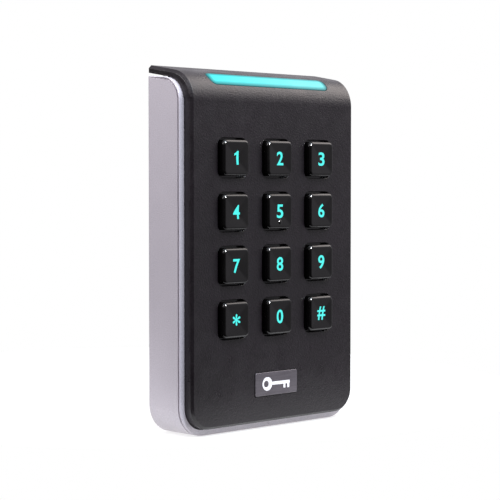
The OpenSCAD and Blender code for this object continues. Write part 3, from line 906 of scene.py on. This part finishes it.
materials = {
    "housing_paint": finish_material(
        "housing_paint", srgb(188, 183, 190), 0.42, metallic=0.1, bump=0.3,
        mottle=0.03, speck=0.14, rough_change=0.04, coat=0.15),
    "cover_plastic": finish_material(
        "cover_plastic", srgb(19, 14, 18), 0.34, grain=1900, bump=1.0, depth=0.1, mottle=0.25, speck=0.6),
    "key_plastic": finish_material(
        "key_plastic", srgb(6, 5, 5), 0.12, grain=700, bump=0.15, mottle=0.1, rough_change=0.05),
    "light_bar": fade_at_edge(
        lit_material("light_bar", srgb(66, 250, 252), srgb(136, 251, 253), (-0.028, 0.016))),
    "legend": lit_material("legend", srgb(84, 250, 241), srgb(96, 252, 244), (-0.03, 0.03)),
    "clear_plastic": finish_material(
        "clear_plastic", srgb(226, 246, 246), 0.12, grain=700, bump=0.04, coat=0.3),
    "badge_metal": finish_material(
        "badge_metal", srgb(110, 105, 110), 0.36, metallic=0.7, grain=2600, bump=0.25, depth=0.008,
        mottle=0.04, speck=0.12, stretch=(0.06, 1, 1)),
    "badge_sign": finish_material("badge_sign", srgb(236, 234, 236), 0.4, mottle=0.02, speck=0.02),
    "plate_plastic": finish_material(
        "plate_plastic", srgb(70, 70, 73), 0.5, grain=2600, bump=0.4, depth=0.03, mottle=0.1, speck=0.15),
    "silicone": finish_material("silicone", srgb(200, 203, 206), 0.5, grain=1500, bump=0.1, sheen=0.2),
    "seal_rubber": finish_material("seal_rubber", srgb(36, 36, 36), 0.8, grain=4000, bump=0.8, depth=0.05),
    "circuit_board": finish_material(
        "circuit_board", srgb(24, 100, 62), 0.28, grain=1300, bump=0.2, speck=0.2, coat=0.4),
    "chip_black": finish_material("chip_black", srgb(38, 38, 40), 0.6, grain=5000, bump=0.3, speck=0.2),
    "connector_plastic": finish_material("connector_plastic", srgb(216, 210, 188), 0.45, grain=2000),
    "terminal_plastic": finish_material(
        "terminal_plastic", srgb(64, 140, 92), 0.42, grain=2600, bump=0.3, speck=0.08),
    "former_plastic": finish_material("former_plastic", srgb(218, 216, 208), 0.5, grain=2200),
    "copper": finish_material(
        "copper", srgb(196, 112, 62), 0.28, metallic=1.0, grain=3500, bump=0.9, depth=0.05,
        stretch=(1, 1, 0.2)),
    "gold_contact": finish_material("gold_contact", srgb(224, 186, 96), 0.22, metallic=1.0, grain=2500),
    "brass": finish_material(
        "brass", srgb(208, 170, 98), 0.27, metallic=1.0, grain=3500, bump=0.4, stretch=(1, 1, 0.05)),
    "steel": finish_material("steel", srgb(190, 192, 196), 0.3, metallic=1.0, bump=0.3, speck=0.1),
    "tin": finish_material("tin", srgb(208, 210, 213), 0.26, metallic=1.0, grain=1800, bump=0.3),
    "led_resin": finish_material("led_resin", srgb(240, 236, 214), 0.2, grain=1200, bump=0.05, coat=0.5),
    "ceramic": finish_material("ceramic", srgb(200, 166, 128), 0.6, grain=4000, bump=0.3),
}


# ---------------------------------------------------------------- the object

front_cover()
rear_housing()
light_bar()
badge()
for index, node in enumerate(LEGENDS):
    key_cap(node, index)
    legend(node, index)
nib("key_5", 4)

for part in frame["record"]["subparts"]:
    cad = frame["nodes"][part["node"]]
    if cad.hide_render:
        continue
    cad.data.materials.clear()
    cad.data.materials.append(materials[part["material_slot"]])


# ---------------------------------------------------------------- floor, light and camera

def floor():
    """A pale floor that the reader's foot stands on, bright enough to run into the white behind it."""
    bm = bmesh.new()
    bmesh.ops.create_circle(bm, cap_ends=True, segments=96, radius=STAGE_R)
    bmesh.ops.translate(bm, verts=bm.verts, vec=(*STAGE_AT, -MID_Z * MM - STAGE_DROP))
    mesh = bpy.data.meshes.new("floor")
    bm.to_mesh(mesh)
    bm.free()
    piece = link("floor", mesh)
    paper = finish_material("floor", srgb(155, 155, 155), 0.7, grain=60, bump=0.02, mottle=0.004)
    glow = paper.node_tree.nodes["Principled BSDF"]
    glow.inputs["Emission Color"].default_value = (1, 1, 1, 1)
    glow.inputs["Emission Strength"].default_value = STAGE_GLOW
    mesh.materials.append(paper)


def world():
    """Surroundings that look white but light the reader dimly: more from the right and from above."""
    sky = bpy.data.worlds.new("studio")
    bpy.context.scene.world = sky
    sky.use_nodes = True
    tree = sky.node_tree
    background = tree.nodes["Background"]
    split = add(tree, "ShaderNodeSeparateXYZ")
    tree.links.new(add(tree, "ShaderNodeTexCoord").outputs["Generated"], split.inputs["Vector"])
    across = ranged(tree, split.outputs["X"], LEFT_LIGHT, RIGHT_LIGHT, start=0.1, end=0.8)
    above = ranged(tree, split.outputs["Z"], 0, TOP_LIGHT, start=-0.02, end=0.45)
    rays = add(tree, "ShaderNodeLightPath")
    seen = add(tree, "ShaderNodeMix", data_type="FLOAT")
    seen.inputs["B"].default_value = 1
    tree.links.new(rays.outputs["Is Camera Ray"], seen.inputs["Factor"])
    tree.links.new(calculate(tree, "ADD", across, above), seen.inputs["A"])
    tree.links.new(seen.outputs["Result"], background.inputs["Strength"])
    tint = add(tree, "ShaderNodeMix", data_type="RGBA")
    tint.inputs["A"].default_value = (0.96, 0.93, 1, 1)
    tint.inputs["B"].default_value = (1, 1, 1, 1)
    tree.links.new(rays.outputs["Is Camera Ray"], tint.inputs["Factor"])
    tree.links.new(tint.outputs["Result"], background.inputs["Color"])


def softbox(name, towards, away, size, glow, colour=(1, 1, 1)):
    """A square area light that faces the reader from this far away, with this radiance."""
    lamp = bpy.data.lights.new(name, "AREA")
    lamp.size = size
    lamp.energy = glow * math.pi * size * size
    lamp.color = colour
    light = link(name, lamp)
    light.location = Vector(towards).normalized() * away
    light.rotation_euler = (-light.location).to_track_quat("-Z", "Y").to_euler()
    return light


def only_on_keys(light):
    """Lets a light show only as a highlight on the glossy key caps."""
    light.visible_diffuse = False
    light.data.cycles.max_bounces = 0
    lit = bpy.data.collections.new("lit_keys")
    for piece in bpy.data.objects:
        if piece.name.endswith("_cap") or piece.name.endswith("_nib"):
            lit.objects.link(piece)
    light.light_linking.receiver_collection = lit


def camera():
    """The viewpoint: left of the reader and a little above its middle."""
    lens = bpy.data.cameras.new("camera")
    lens.lens = CAMERA_LENS
    lens.sensor_width = 36
    lens.clip_start = 0.01
    view = link("camera", lens)
    level = math.cos(CAMERA_PITCH)
    back = Vector((-math.sin(CAMERA_YAW) * level, -math.cos(CAMERA_YAW) * level, math.sin(CAMERA_PITCH)))
    view.location = Vector(CAMERA_TARGET) + back * CAMERA_AWAY
    view.rotation_euler = (-back).to_track_quat("-Z", "Y").to_euler()
    bpy.context.scene.camera = view


floor()
world()
softbox("top_softbox", towards=(0, -0.62, 0.78), away=0.7, size=0.34, glow=22.5, colour=(0.84, 0.91, 1))
dot_lamp = softbox("dot_lamp", towards=(0.13, -0.87, 0.43), away=1, size=0.14, glow=620)
softbox("right_softbox", towards=(0.69, -0.23, 0.66), away=0.6, size=0.4, glow=3, colour=(1, 0.91, 0.85))
softbox("left_softbox", towards=(-0.76, 0.1, 0.64), away=0.4, size=0.2, glow=10.5, colour=(1, 0.97, 1))
only_on_keys(dot_lamp)
camera()
bpy.context.scene.view_settings.view_transform = "Standard"

bpy.context.view_layer.update()
